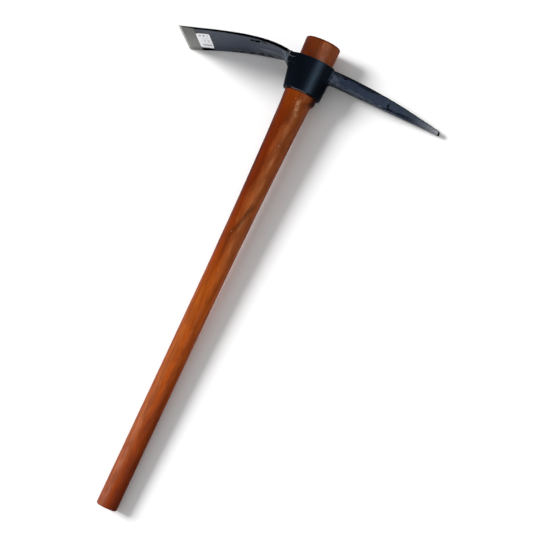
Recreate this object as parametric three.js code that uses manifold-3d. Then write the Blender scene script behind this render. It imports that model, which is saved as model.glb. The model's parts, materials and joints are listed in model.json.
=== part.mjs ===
// Grubbing pickaxe. One steel forging carries a wide adze, an oval eye and a square pick.
// A wooden handle drops through the eye from above and wedges in its taper.
// Sizes are in millimetres. Each piece is drawn with X from the adze to the pick and Y from the
// handle's butt to its crown. The whole tool is then laid on the ground, with Z up.
import * as THREE from "three";
import { mergeVertices } from "three/addons/utils/BufferGeometryUtils.js";
import Module from "manifold-3d";

const wasm = await Module();
wasm.setup();

// Handle: an oval grip that flares toward the eye. Widths run along X and depths along Z.
const handleLength = 900;
const gripWidth = 38;
const gripDepth = 29;
const flareWidth = 54.4;
const flareDepth = 44.4;
const buttRound = 4;
const crownRound = 3.5;
const crownStandOut = 39;
const shoulderDrop = 17;
const shoulderRise = 8;

// Eye: a tapered oval socket, wider at its top, that leans toward the adze.
const eyeHeight = 63;
const eyeOffset = 2;
const eyeLean = 1.2;
const mouthWidth = 61;
const mouthDepth = 46;
const topWidth = 64.5;
const topDepth = 47.4;
const fitGap = 0.3;
const mouthWall = 5;
const adzeSideWall = 14;
const pickSideWall = 7.4;
const topFrontWall = 6;
const rimRound = 1.6;
const rimFall = 3;
const rootSink = 0.3;

// Adze: a curved blade across the handle, ground on its underside.
const adzeReach = 235.5;
const adzeWidth = 127;
const bladeWidth = 99;
const neckWidth = 49;
const neckLength = 28;
const neckReach = 45;
const neckThickness = 6.3;
const rootDrop = 8.8;
const adzeDrop = 45.5;
const adzeBend = 130;
const bevelLength = 23.5;
const bevelThickness = 3.8;
const edgeThickness = 1;
const bladeCrown = 1.2;
const sideRound = 1.3;
const cornerRound = 1.2;
const neckFillet = 9;
const neckBlend = 3;
const ribLength = 60;
const ribWidth = 40;
const ribDepth = 4.5;

// Pick: a square bar that tapers to a small blunt point, flat below and arched above.
const pickReach = 255;
const pickRootReach = 40;
const pickRootFall = 2.3;
const pickHeight = 25;
const pickDepth = 28;
const pickDrop = 28.5;
const tipHeight = 5.9;
const tipDepth = 8.5;
const tipRound = 1.5;
const pickChamfer = 2.2;
const pointChamfer = 3.2;
const pointLength = 95;
const pickBlend = 10;
const pickFillet = 7;

// Paper label on the adze's underside, beside the ground bevel.
const labelLength = 76;
const labelWidth = 24;
const labelThickness = 0.3;
const labelCorner = 3;
const labelInset = 1.5;
const labelShift = -2.5;

// How finely the round forms are drawn.
const ovalSides = 48;
const handleSteps = 18;
const roundSteps = 4;
const bladeSteps = 16;
const pickSteps = 14;
const restPasses = 8;

// Powers and shares that shape the curves.
const flarePower = 4;
const squarePower = 3.2;
const pickArchPower = 1.85;
const pickTaperPower = 1.3;
const bladeThinPower = 1.6;
const roundShare = 0.34;
const ribEndShare = 0.25;
const pointStartShare = 0.25;
const topShares = [-1, -0.66, -0.33, 0, 0.33, 0.66, 1];
const ribShares = [1, 0.66, 0.33, 0, -0.33, -0.66, -1];

const eyeTop = handleLength - crownStandOut;
const eyeMouth = eyeTop - eyeHeight;
const rootUnderside = eyeTop - rootDrop;
const { lerp, clamp } = THREE.MathUtils;

// What a cove adds to a face at a distance from its start: its radius first, then less, then zero.
function cove(radius, along) {
  const left = clamp(radius - along, 0, radius);
  return radius - Math.sqrt(radius * radius - left * left);
}

// The larger of two sizes, blended where they lie within a reach of each other.
function blendedMax(first, second, reach) {
  const overlap = Math.max(reach - Math.abs(first - second), 0) / reach;
  return Math.max(first, second) + (overlap * overlap * reach) / 4;
}

// Stations from start to end, spaced evenly.
function evenSteps(start, end, steps) {
  return Array.from({ length: steps + 1 }, (_, step) => lerp(start, end, step / steps));
}

// An oval ring square to the handle. A power above two makes the adze side squarer.
function ovalRing(y, adzeSide, pickSide, halfDepth, adzePower = 2) {
  const ring = [];
  for (let side = 0; side < ovalSides; side += 1) {
    const angle = (2 * Math.PI * side) / ovalSides;
    const onAdzeSide = Math.cos(angle) < 0;
    const power = 2 / (onAdzeSide ? adzePower : 2);
    const across = Math.sign(Math.cos(angle)) * Math.abs(Math.cos(angle)) ** power;
    const up = Math.sign(Math.sin(angle)) * Math.abs(Math.sin(angle)) ** power;
    const reach = onAdzeSide ? adzeSide : pickSide;
    ring.push(new THREE.Vector3(across * reach, y, up * halfDepth));
  }
  return ring;
}

function shifted(ring, x) {
  return ring.map((point) => new THREE.Vector3(point.x + x, point.y, point.z));
}

// A closed skin through rings of equal count, with a flat cap at each end.
function loft(rings) {
  const count = rings[0].length;
  const points = rings.flat();
  const faces = [];
  for (let ring = 0; ring + 1 < rings.length; ring += 1) {
    for (let side = 0; side < count; side += 1) {
      const next = (side + 1) % count;
      const [a, b] = [ring * count + side, ring * count + next];
      faces.push(a, a + count, b, b, a + count, b + count);
    }
  }
  for (const [ring, turn] of [[0, 1], [rings.length - 1, -1]]) {
    const middle = points.length;
    const sum = new THREE.Vector3();
    rings[ring].forEach((point) => sum.add(point));
    points.push(sum.divideScalar(count));
    for (let side = 0; side < count; side += 1) {
      const [a, b] = [ring * count + side, ring * count + ((side + 1) % count)];
      faces.push(middle, turn > 0 ? a : b, turn > 0 ? b : a);
    }
  }
  const geometry = new THREE.BufferGeometry().setFromPoints(points);
  geometry.setIndex(signedVolume(points, faces) < 0 ? faces.reverse() : faces);
  return mergeVertices(geometry);
}

function signedVolume(points, faces) {
  let volume = 0;
  for (let face = 0; face < faces.length; face += 3) {
    const [a, b, c] = [points[faces[face]], points[faces[face + 1]], points[faces[face + 2]]];
    volume += a.dot(b.clone().cross(c)) / 6;
  }
  return volume;
}

function toSolid(geometry) {
  const vertProperties = new Float32Array(geometry.attributes.position.array);
  const triVerts = new Uint32Array(geometry.index.array);
  return new wasm.Manifold(new wasm.Mesh({ numProp: 3, vertProperties, triVerts }));
}

function toGeometry(solid) {
  const mesh = solid.getMesh();
  const geometry = new THREE.BufferGeometry();
  geometry.setAttribute("position", new THREE.BufferAttribute(mesh.vertProperties, 3));
  geometry.setIndex(new THREE.BufferAttribute(mesh.triVerts, 1));
  return geometry;
}

// Half sizes of the socket at a height above the mouth. The taper runs on past both rims.
function socketHalves(y) {
  const rise = (y - eyeMouth) / eyeHeight;
  return [lerp(mouthWidth, topWidth, rise) / 2, lerp(mouthDepth, topDepth, rise) / 2];
}

// Where the middle of the eye lies at a height. It leans toward the adze on its way up.
function eyeMiddle(y) {
  return eyeOffset - (eyeLean * (y - eyeMouth)) / eyeHeight;
}

// Half sizes and sideways shift of the handle at a height.
function handleSection(y) {
  const shoulderFoot = eyeMouth - shoulderDrop;
  const flare = Math.min(y / shoulderFoot, 1) ** flarePower;
  const halfWidth = lerp(gripWidth, flareWidth, flare) / 2;
  const halfDepth = lerp(gripDepth, flareDepth, flare) / 2;
  const rise = clamp((y - shoulderFoot) / shoulderRise, 0, 1);
  const swell = Math.sin((rise * Math.PI) / 2);
  const [socketWidth, socketDepth] = socketHalves(y);
  return {
    halfWidth: lerp(halfWidth, socketWidth - fitGap, swell),
    halfDepth: lerp(halfDepth, socketDepth - fitGap, swell),
    shift: eyeMiddle(y) * swell,
  };
}

function handleRing(y, inset = 0) {
  const { halfWidth, halfDepth, shift } = handleSection(y);
  return shifted(ovalRing(y, halfWidth - inset, halfWidth - inset, halfDepth - inset), shift);
}

// Both ends are flat with a rounded rim, and the shoulder has a rounded step.
function handleRings() {
  const shoulderFoot = eyeMouth - shoulderDrop;
  const shoulderTop = shoulderFoot + shoulderRise;
  const quarter = evenSteps(0, Math.PI / 2, roundSteps);
  const butt = quarter.map((angle) =>
    handleRing(buttRound * (1 - Math.cos(angle)), buttRound * (1 - Math.sin(angle))));
  const shaft = evenSteps(buttRound, shoulderFoot, handleSteps).slice(1);
  const shoulder = evenSteps(shoulderFoot, shoulderTop, roundSteps).slice(1);
  const crown = quarter.map((angle) =>
    handleRing(handleLength - crownRound * (1 - Math.sin(angle)), crownRound * (1 - Math.cos(angle))));
  const middle = [...shaft, ...shoulder, lerp(shoulderTop, handleLength, 1 / 2)];
  return [...butt, ...middle.map((y) => handleRing(y)), ...crown];
}

// Reach of the eye's outside from its centre, toward the adze and the pick, and its half depth.
function eyeHalves(y) {
  const rise = clamp((y - eyeMouth) / eyeHeight, 0, 1);
  return {
    adzeSide: lerp(mouthWidth / 2 + mouthWall, topWidth / 2 + adzeSideWall, rise),
    pickSide: lerp(mouthWidth / 2 + mouthWall, topWidth / 2 + pickSideWall, rise),
    halfDepth: lerp(mouthDepth / 2 + mouthWall, topDepth / 2 + topFrontWall, rise),
    power: lerp(2, squarePower, rise),
  };
}

// The rim falls toward the adze, so that the top of the head runs on in one line.
function eyeRing(y, inset = 0) {
  const { adzeSide, pickSide, halfDepth, power } = eyeHalves(y);
  const ring = ovalRing(y, adzeSide - inset, pickSide - inset, halfDepth - inset, power);
  const rise = (y - eyeMouth) / eyeHeight;
  ring.forEach((point) => {
    point.y -= rimFall * rise * (Math.min(point.x, 0) / adzeSide) ** 2;
  });
  return shifted(ring, eyeMiddle(y));
}

// Half depth of the eye's outside at a place along the head and a height.
function eyeHalfDepthAt(x, y) {
  const { adzeSide, pickSide, halfDepth, power } = eyeHalves(y);
  const out = x - eyeMiddle(y);
  const [side, sidePower] = out < 0 ? [adzeSide, power] : [pickSide, 2];
  const share = Math.min(Math.abs(out) / side, 1);
  return halfDepth * (1 - share ** sidePower) ** (1 / sidePower);
}

function eyeSolid() {
  const quarter = evenSteps(0, Math.PI / 2, roundSteps);
  const mouth = quarter.map((angle) =>
    eyeRing(eyeMouth + rimRound * (1 - Math.cos(angle)), rimRound * (1 - Math.sin(angle))));
  const wall = evenSteps(eyeMouth + rimRound, eyeTop - rimRound, roundSteps).slice(1, -1);
  const rim = quarter.map((angle) =>
    eyeRing(eyeTop - rimRound * (1 - Math.sin(angle)), rimRound * (1 - Math.cos(angle))));
  return toSolid(loft([...mouth, ...wall.map((y) => eyeRing(y)), ...rim]));
}

// The socket's cut runs past both rims by the height of a rim's rounding.
function socketSolid() {
  const rings = [eyeMouth - rimRound, eyeMouth, eyeTop, eyeTop + rimRound].map((y) => {
    const [halfWidth, halfDepth] = socketHalves(y);
    return shifted(ovalRing(y, halfWidth, halfWidth, halfDepth), eyeMiddle(y));
  });
  return toSolid(loft(rings));
}

// Height of the blade's underside at a reach from the handle's axis. It leaves the neck level
// and bends into a nearly straight slope.
function bladeUnderside(reach) {
  const out = Math.max(reach - neckReach, 0) / adzeBend;
  const whole = (adzeReach - neckReach) / adzeBend;
  const bend = (Math.hypot(1, out) - 1) / (Math.hypot(1, whole) - 1);
  return rootUnderside - adzeDrop * bend;
}

// The blade widens fast past its neck and then flares gently to the edge.
function bladeHalfWidth(reach) {
  const out = Math.max(reach - neckReach, 0);
  const share = out / (adzeReach - neckReach);
  const neck = (bladeWidth - neckWidth) * (1 - Math.exp(-out / neckLength));
  return (neckWidth + neck + (adzeWidth - bladeWidth) * share * share) / 2;
}

function bladeThickness(reach) {
  const bevelReach = adzeReach - bevelLength;
  if (reach > bevelReach) {
    return lerp(bevelThickness, edgeThickness, (reach - bevelReach) / bevelLength);
  }
  const share = clamp((reach - neckReach) / (bevelReach - neckReach), 0, 1);
  return lerp(neckThickness, bevelThickness, 1 - (1 - share) ** bladeThinPower);
}

// One section of the blade. The grinding of the bevel takes steel from the underside only.
// The neck blends into the eye's sides, a cove runs under it, and a rib stiffens its underside.
function bladeRing(reach, inset = 0) {
  const thickness = bladeThickness(reach);
  const ground = reach > adzeReach - bevelLength ? bevelThickness - thickness : 0;
  const top = bladeUnderside(reach) + ground + thickness;
  const bottom = top - thickness - cove(neckFillet, reach - neckReach + neckFillet / 2);
  const halfAt = (y) =>
    blendedMax(eyeHalfDepthAt(-reach, y) - rootSink, bladeHalfWidth(reach), neckBlend) - inset;
  const round = Math.min(sideRound, thickness * roundShare);
  const crown = bladeCrown * Math.min(thickness / bevelThickness, 1);
  const ribShare = clamp(1 - (reach - neckReach) / ribLength, 0, 1);
  const rib = ribDepth * ribShare;
  const ribHalf = (ribWidth / 2) * lerp(ribEndShare, 1, ribShare);
  const [topHalf, bottomHalf] = [halfAt(top), halfAt(bottom)];
  const ring = [];
  const add = (y, z) => ring.push(new THREE.Vector3(-reach, y, z));
  topShares.forEach((share) => add(top + crown * (1 - share * share), share * (topHalf - round)));
  add(top - round, topHalf);
  add(bottom + round, bottomHalf);
  add(bottom, bottomHalf - round);
  ribShares.forEach((share) => add(bottom - rib * Math.cos((share * Math.PI) / 2) ** 2, share * ribHalf));
  add(bottom, round - bottomHalf);
  add(bottom + round, -bottomHalf);
  add(top - round, -topHalf);
  return ring;
}

function adzeRings() {
  const [coveStart, coveEnd] = [neckReach - neckFillet / 2, neckReach + neckFillet / 2];
  const root = evenSteps(mouthWidth / 4, coveStart, roundSteps);
  const neck = evenSteps(coveStart, coveEnd, roundSteps).slice(1);
  const blade = evenSteps(coveEnd, adzeReach - bevelLength, bladeSteps).slice(1);
  const corner = evenSteps(0, Math.PI / 2, roundSteps).map((angle) =>
    bladeRing(adzeReach - cornerRound * (1 - Math.sin(angle)), cornerRound * (1 - Math.cos(angle))));
  return [...[...root, ...neck, ...blade].map((reach) => bladeRing(reach)), ...corner];
}

// One section of the pick: a bar with chamfered corners, whose point has larger lower ones. It
// starts a little below the eye's rim, and a cove joins the two.
function pickRing(reach, inset = 0) {
  const along = clamp((reach - pickRootReach) / (pickReach - pickRootReach), 0, 1);
  const tipTop = eyeTop - pickDrop;
  const barTop = lerp(eyeTop - pickRootFall, tipTop, along ** pickArchPower);
  const barBottom = lerp(eyeTop - pickHeight, tipTop - tipHeight, along);
  const barHalf = lerp(pickDepth, tipDepth, along ** pickTaperPower) / 2;
  const top = barTop - inset + cove(pickRootFall, reach - pickRootReach + pickRootFall / 2);
  const bottom = barBottom + inset - cove(pickFillet, reach - pickRootReach + pickFillet / 2);
  const halfAt = (y) => blendedMax(eyeHalfDepthAt(reach, y) - rootSink, barHalf, pickBlend) - inset;
  const point = clamp((reach - pickReach + pointLength) / (pointLength * pointStartShare), 0, 1);
  const fit = (size) => Math.min(size, (top - bottom) * roundShare, barHalf * roundShare);
  const [upper, lower] = [fit(pickChamfer), fit(lerp(pickChamfer, pointChamfer, point))];
  const [topHalf, bottomHalf] = [halfAt(top), halfAt(bottom)];
  const outline = [
    [top, topHalf - upper],
    [top - upper, topHalf],
    [bottom + lower, bottomHalf],
    [bottom, bottomHalf - lower],
  ];
  const mirrored = outline.map(([y, z]) => [y, -z]).reverse();
  return [...outline, ...mirrored].map(([y, z]) => new THREE.Vector3(reach, y, z));
}

function pickRings() {
  const [coveStart, coveEnd] = [pickRootReach - pickFillet / 2, pickRootReach + pickFillet / 2];
  const root = evenSteps(mouthWidth / 4, coveStart, roundSteps);
  const neck = evenSteps(coveStart, coveEnd, roundSteps).slice(1);
  const bar = evenSteps(coveEnd, pickReach - tipRound, pickSteps).slice(1);
  const tip = evenSteps(0, Math.PI / 2, roundSteps).slice(1).map((angle) =>
    pickRing(pickReach - tipRound * (1 - Math.sin(angle)), tipRound * (1 - Math.cos(angle))));
  return [...[...root, ...neck, ...bar].map((reach) => pickRing(reach)), ...tip];
}

function headGeometry(adze, pick) {
  const forging = eyeSolid().add(toSolid(loft(adze))).add(toSolid(loft(pick)));
  return toGeometry(forging.subtract(socketSolid()));
}

// The label follows the blade's underside and has rounded corners.
function labelGeometry() {
  const outer = adzeReach - bevelLength - labelInset;
  const inner = outer - labelWidth;
  const corner = evenSteps(0, Math.PI / 2, roundSteps).map((angle) =>
    [labelCorner * (1 - Math.cos(angle)), labelCorner * (1 - Math.sin(angle))]);
  const stations = [
    ...corner.map(([along, inset]) => [inner + along, inset]),
    ...corner.map(([along, inset]) => [outer - along, inset]).reverse(),
  ];
  return loft(stations.map(([reach, inset]) => {
    const face = bladeUnderside(reach) - fitGap;
    const half = labelLength / 2 - inset;
    return [[0, 1], [0, -1], [labelThickness, -1], [labelThickness, 1]].map(([depth, side]) =>
      new THREE.Vector3(-reach, face - depth, labelShift + side * half));
  }));
}

function named(name, geometry, colour, roughness, metalness) {
  const material = new THREE.MeshStandardMaterial({ color: colour, roughness, metalness });
  const mesh = new THREE.Mesh(geometry, material);
  mesh.name = name;
  return mesh;
}

// The direction that points up when the tool rests on the lowest point of each foot.
function restingUp(feet) {
  let up = new THREE.Vector3(0, 0, 1);
  const lowest = (points) => points.reduce((low, point) => (point.dot(up) < low.dot(up) ? point : low));
  for (let pass = 0; pass < restPasses; pass += 1) {
    const [first, second, third] = feet.map(lowest);
    up = second.clone().sub(first).cross(third.clone().sub(first)).normalize();
    if (up.z < 0) up.negate();
  }
  return up;
}

const shaftRings = handleRings();
const adze = adzeRings();
const pick = pickRings();

const tool = new THREE.Group();
tool.add(named("pick_head", headGeometry(adze, pick), 0x22262c, 0.5, 0.6));
tool.add(named("handle", loft(shaftRings), 0xa0502c, 0.4, 0));
tool.add(named("label", labelGeometry(), 0xeeeef2, 0.7, 0));

// It lies on the butt's rim, the adze's lower corner and the pick's tip.
const feet = [shaftRings.slice(0, roundSteps + 1).flat(), adze.at(-1), pick.slice(-roundSteps).flat()];
tool.quaternion.setFromUnitVectors(restingUp(feet), new THREE.Vector3(0, 0, 1));
const box = new THREE.Box3().setFromObject(tool, true);
const middle = box.getCenter(new THREE.Vector3());
tool.position.set(-middle.x, -middle.y, -box.min.z);

const pickaxe = new THREE.Group();
pickaxe.add(tool);
pickaxe.updateMatrixWorld(true);

export default pickaxe;
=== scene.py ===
# %% [markdown]
# # A grubbing pickaxe
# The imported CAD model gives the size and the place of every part. This lesson builds finer pieces
# over it: a forged head with a wide adze and a pointed pick, a stained handle, and a paper label.
# All lengths are in metres, in the frame of the CAD model, with Z up from the floor.

import json
import math
from functools import partialmethod

import bmesh
import bpy
import numpy as np
from mathutils import Euler, Matrix, Vector, noise


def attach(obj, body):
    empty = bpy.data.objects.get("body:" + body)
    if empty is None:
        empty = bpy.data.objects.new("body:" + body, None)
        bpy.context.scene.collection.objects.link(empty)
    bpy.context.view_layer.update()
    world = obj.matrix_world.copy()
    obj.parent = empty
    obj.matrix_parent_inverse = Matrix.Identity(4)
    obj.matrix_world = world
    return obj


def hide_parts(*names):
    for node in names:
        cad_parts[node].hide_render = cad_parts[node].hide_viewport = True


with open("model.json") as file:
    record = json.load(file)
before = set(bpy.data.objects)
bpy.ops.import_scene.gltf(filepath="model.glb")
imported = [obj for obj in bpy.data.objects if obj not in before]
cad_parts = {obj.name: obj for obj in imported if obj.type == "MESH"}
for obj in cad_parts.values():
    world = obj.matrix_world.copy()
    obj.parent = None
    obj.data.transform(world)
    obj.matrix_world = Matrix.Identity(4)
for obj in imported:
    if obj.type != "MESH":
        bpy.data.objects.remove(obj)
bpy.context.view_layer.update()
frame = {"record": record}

# %% [markdown]
# ## How the tool lies
# A pickaxe is easiest to draw in its own plane, with X toward the pick, Y along the handle toward
# the crown, and Z toward the viewer. On the floor it lies on three points: the butt's rim, the
# lower corner of the adze and the tip of the pick. The CAD model is turned so that this plane is
# the floor. The same turn and shift are kept here as one matrix, and each finished mesh goes
# through it once.

# %% Place of the tool on the floor
mm = 0.001
resting_up = Vector((-0.117224, 0.024390, 0.992806))
resting_shift = Vector((-7.413953, -449.985961, 15.613337)) * mm
lie = resting_up.rotation_difference(Vector((0, 0, 1))).to_matrix().to_4x4()
place = Matrix.Translation(resting_shift) @ lie
butt_mount = Vector(frame["record"]["mounts"][0]["pos_m"])
butt_middle = place @ Vector((3 * mm, 0, 2 * mm))
print("the butt's mount is off by", round((butt_middle - butt_mount).length / mm, 3), "mm")


def sized(*lengths):
    """Lengths in metres, from lengths in millimetres."""
    return [length * mm for length in lengths]


def in_scene(name, data):
    """A new object that shows this data, linked to the scene."""
    made = bpy.data.objects.new(name, data)
    bpy.context.scene.collection.objects.link(made)
    return made


# %% [markdown]
# ## Camera
# The photograph was taken from above, a little to the pick's side, with a long lens. The place,
# the turn and the lens below put the ends of the handle, both rims of the eye and the corners of
# the adze where the photograph has them. There is no depth of field and no shift.

# %% Camera at the photograph's angle
camera_place, camera_lens, sensor_width = (0.58804, -0.19017, 1.99337), 75.604, 36
camera_turn = Euler([math.radians(angle) for angle in (11.5202, 9.9100, 25.4012)])
camera = in_scene("camera", bpy.data.cameras.new("camera"))
camera.data.lens, camera.data.sensor_width = camera_lens, sensor_width
camera.location, camera.rotation_euler = camera_place, camera_turn
bpy.context.scene.camera = camera
bpy.context.scene.view_settings.view_transform = "Standard"
print("the camera looks along", [round(x, 3) for x in camera_turn.to_matrix() @ Vector((0, 0, -1))])

# %% [markdown]
# ## Helpers for node trees
# Materials and Geometry Nodes are both trees of nodes. Here a wire stands for one output of a node,
# and it can be given to the next node as an input. Sums with wires are written as plain sums, so
# that a long rule stays easy to read. Each sum adds one Math node to the tree.

# %% Wires and nodes
class Wire:
    """One output of a node. Another output of the same node is found by its name."""

    def __init__(self, socket):
        self.socket, self.tree = socket, socket.id_data

    def __getitem__(self, name):
        return Wire(self.socket.node.outputs[name])

    def __rsub__(self, other):
        return calc("SUBTRACT", other, self)

    def sum_of(self, operation, *others):
        return calc(operation, self, *others)

    __add__ = partialmethod(sum_of, "ADD")
    __sub__ = partialmethod(sum_of, "SUBTRACT")
    __mul__ = partialmethod(sum_of, "MULTIPLY")
    __truediv__ = partialmethod(sum_of, "DIVIDE")
    __pow__ = partialmethod(sum_of, "POWER")
    __abs__ = partialmethod(sum_of, "ABSOLUTE")


def add(tree, kind, inputs=None, output=0, **properties):
    """A new node, as the wire from one output. A wire among its inputs is linked, and a value is set."""
    made = tree.nodes.new(kind)
    for name, value in properties.items():
        setattr(made, name, value)
    for socket, value in (inputs or {}).items():
        if isinstance(value, Wire):
            tree.links.new(value.socket, made.inputs[socket])
        else:
            made.inputs[socket].default_value = value
    return Wire(made.outputs[output]) if made.outputs else None


print("helpers ready for wires and nodes")

# %% Sums, fades and materials
def tree_of(*values):
    """The tree of the first wire among some values."""
    return next(value.tree for value in values if isinstance(value, Wire))


def calc(operation, *values, clamp=False):
    """The result of one Math node."""
    return add(tree_of(*values), "ShaderNodeMath", dict(enumerate(values)), operation=operation, use_clamp=clamp)


def scaled(value, factor, offset):
    return calc("MULTIPLY_ADD", value, factor, offset)


def largest(value, *others):
    for other in others:
        value = calc("MAXIMUM", value, other)
    return value


def fade(value, low, high, end=1.0, start=0.0):
    """A smooth change from start to end while the value goes from low to high."""
    inputs = {"Value": value, "From Min": low, "From Max": high, "To Min": start, "To Max": end}
    return add(value.tree, "ShaderNodeMapRange", inputs, interpolation_type="SMOOTHSTEP")


def split(vector):
    """The wire of a vector's X. Its Y and Z are found by name."""
    return add(vector.tree, "ShaderNodeSeparateXYZ", {0: vector})


def surface(name, **constants):
    """A material with one Principled BSDF. Constants are set on its own sockets."""
    made = bpy.data.materials.new(name)
    made.use_nodes = True
    for socket, value in constants.items():
        made.node_tree.nodes["Principled BSDF"].inputs[socket.replace("_", " ")].default_value = value
    return made


def dress(made, **wires):
    """Links wires to the Principled BSDF of a material."""
    for socket, wire in wires.items():
        shader = made.node_tree.nodes["Principled BSDF"]
        made.node_tree.links.new(wire.socket, shader.inputs[socket.replace("_", " ")])


print("helpers ready for sums, fades and materials")

# %% [markdown]
# ## Light
# The photograph is a cut-out on white with a soft shadow to the right. A wide sun from the left
# makes that shadow, and the world fills the rest. The gloss has lamps of its own, which light
# nothing else: a strip above the pick's side draws a long pale line on the eye and on the crown,
# and a soft window at the lower left lays a sheen on the grip. To the camera, and to glossy and
# transmitted rays, the world is plain white.

# %% World and lamps
fill_strength, white_strength = 0.46, 1.0
world = bpy.data.worlds.new("studio")
world.use_nodes = True
bpy.context.scene.world = world
tree = world.node_tree
tree.nodes.clear()
path = add(tree, "ShaderNodeLightPath")
seen = largest(path["Is Camera Ray"], path["Is Glossy Ray"], path["Is Transmission Ray"])
soft, white = [add(tree, "ShaderNodeBackground", {"Color": (1, 1, 1, 1), "Strength": strength})
               for strength in (fill_strength, white_strength)]
add(tree, "ShaderNodeOutputWorld", {"Surface": add(tree, "ShaderNodeMixShader", {0: seen, 1: soft, 2: white})})


def lamp(name, kind, energy, start, aim, **shape):
    """A lamp at a point, turned toward another point."""
    made = in_scene(name, bpy.data.lights.new(name, kind))
    made.data.energy = energy
    for key, value in shape.items():
        setattr(made.data, key, value)
    made.location = start
    made.rotation_euler = (Vector(aim) - Vector(start)).to_track_quat("-Z", "X").to_euler()
    return made


key = lamp("key", "SUN", 3.7, (-1.5, 0.09, 1.05), (0, 0, 0), angle=math.radians(22))
strip = lamp("strip", "AREA", 172.0, (0.96, 0.62, 1.72), (0.0, 0.36, 0), shape="RECTANGLE", size=0.27, size_y=1.15)
window = lamp("window", "AREA", 78.0, (-1.08, -0.66, 1.02), (0, -0.40, 0.03), shape="RECTANGLE", size=1.0, size_y=0.7)
key.visible_glossy = strip.visible_diffuse = window.visible_diffuse = False
print("lamps", key.name, strip.name, window.name)

# %% [markdown]
# ## Floor
# A wide pale sheet. It is stage, so it isn't part of the object. It only has to be pale and to
# carry the shadow, so a matt surface without a texture is right for it.

# %% Floor
reach_of_floor, paleness = 9, 0.96
floor_mesh = bpy.data.meshes.new("floor")
floor_corners = [(x * reach_of_floor, y * reach_of_floor, 0) for x, y in ((-1, -1), (1, -1), (1, 1), (-1, 1))]
floor_mesh.from_pydata(floor_corners, [], [(0, 1, 2, 3)])
floor = in_scene("floor", floor_mesh)
pale = surface("pale_floor", Base_Color=(paleness, paleness, paleness, 1), Roughness=0.9, Specular_IOR_Level=0.1)
floor_mesh.materials.append(pale)
print("floor", floor.name)

# %% [markdown]
# ## Skins through rings
# Every part of the forging is a row of closed rings with a skin over them, as a boat's planks go
# over its ribs. The rings are drawn from the same sizes as the CAD model, only finer, so that the
# curves are smooth and the edges are round. A ring is an array of points in the tool's own plane.

# %% Rings and skins
def spread(start, end, steps):
    """Evenly spaced values from start to end, both included."""
    return np.linspace(start, end, steps + 1)


def spread_on(start, *stretches):
    """Places from a start through stretches. Each stretch has an end and a number of steps."""
    places = [start]
    for end, steps in stretches:
        places += [*spread(places[-1], end, steps)[1:]]
    return places


def rounded(radius):
    """A round edge as pairs: how far on from the end, and how far in there. Swapped, they run to the end."""
    return [(radius * (1 - math.cos(a)), radius * (1 - math.sin(a))) for a in spread(0, math.pi / 2, 6)]


def ring_at(along, pairs, axis):
    """A ring square to X (axis 0) or to Y (axis 1), from its other two coordinates."""
    return np.insert(np.array(pairs), axis, along, axis=1)


def closed_shape(name, points, faces):
    """A mesh object of closed shapes, with every face turned outwards."""
    shell = bmesh.new()
    corners = [shell.verts.new(point) for point in points]
    for face in faces:
        shell.faces.new([corners[i] for i in face])
    bmesh.ops.recalc_face_normals(shell, faces=shell.faces)
    mesh = bpy.data.meshes.new(name)
    shell.to_mesh(mesh)
    shell.free()
    return in_scene(name, mesh)


def skin(name, *bodies):
    """A closed shape for each row of equal rings, with a fan of triangles at both ends."""
    points, faces = [], []
    for rings in bodies:
        first, count = len(points), len(rings[0])
        last = first + (len(rings) - 1) * count
        points += np.concatenate(rings).tolist()
        for start in range(first, last, count):
            for side in range(count):
                a, b = start + side, start + (side + 1) % count
                faces.append((a, a + count, b + count, b))
        for start, ring in ((first, rings[0]), (last, rings[-1])):
            points.append(ring.mean(axis=0).tolist())
            faces += [(start + side, start + (side + 1) % count, len(points) - 1) for side in range(count)]
    return closed_shape(name, points, faces)


print("helpers ready for rings and skins")

# %% [markdown]
# ## The eye
# The eye is the oval socket that holds the handle. It is wider at its top than at its mouth, and
# its adze side is squarer and thicker, because the blade's pull is taken there. Its outside is a
# row of ovals. A power above two makes an oval squarer. Both rims are rounded with small arcs.

# %% The eye's outside
handle_length, crown_stand_out = sized(900, 39)
eye_height, eye_offset, eye_lean, rim_round, rim_fall = sized(63, 2, 1.2, 1.6, 3)
mouth_width, mouth_depth, top_width, top_depth = sized(61, 46, 64.5, 47.4)
mouth_wall, adze_side_wall, pick_side_wall, front_wall = sized(5, 14, 7.4, 6)
square_power, oval_sides = 3.2, 160
eye_top = handle_length - crown_stand_out
eye_mouth = eye_top - eye_height


def clamped(share):
    return min(max(share, 0), 1)


def mixed_by(share, first, second):
    return first + (second - first) * share


def eye_rise(y):
    """How far up the eye a height lies, from 0 at the mouth to 1 at the top."""
    return (y - eye_mouth) / eye_height


def eye_middle(y):
    """Where the middle of the eye lies at a height. It leans toward the adze on its way up."""
    return eye_offset - eye_lean * (y - eye_mouth) / eye_height


def socket_halves(y):
    """Half width and half depth of the socket at a height."""
    return mixed_by(eye_rise(y), mouth_width, top_width) / 2, mixed_by(eye_rise(y), mouth_depth, top_depth) / 2


def eye_halves(y):
    """Reach toward the adze and the pick, half depth, and the power of the adze side."""
    mouth = (mouth_width / 2 + mouth_wall, mouth_width / 2 + mouth_wall, mouth_depth / 2 + mouth_wall, 2)
    top = (top_width / 2 + adze_side_wall, top_width / 2 + pick_side_wall, top_depth / 2 + front_wall, square_power)
    return [mixed_by(clamped(eye_rise(y)), low, high) for low, high in zip(mouth, top)]


def oval(adze_side, pick_side, half_depth, power=2.0):
    """Points of an oval whose adze side may be squarer than its pick side."""
    angle = spread(0, 2 * math.pi, oval_sides)[:-1]
    share = np.where(np.cos(angle) < 0, 2 / power, 1.0)
    across, up = [np.sign(part) * np.abs(part) ** share for part in (np.cos(angle), np.sin(angle))]
    return np.stack([across * np.where(across < 0, adze_side, pick_side), up * half_depth], axis=1)


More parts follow.
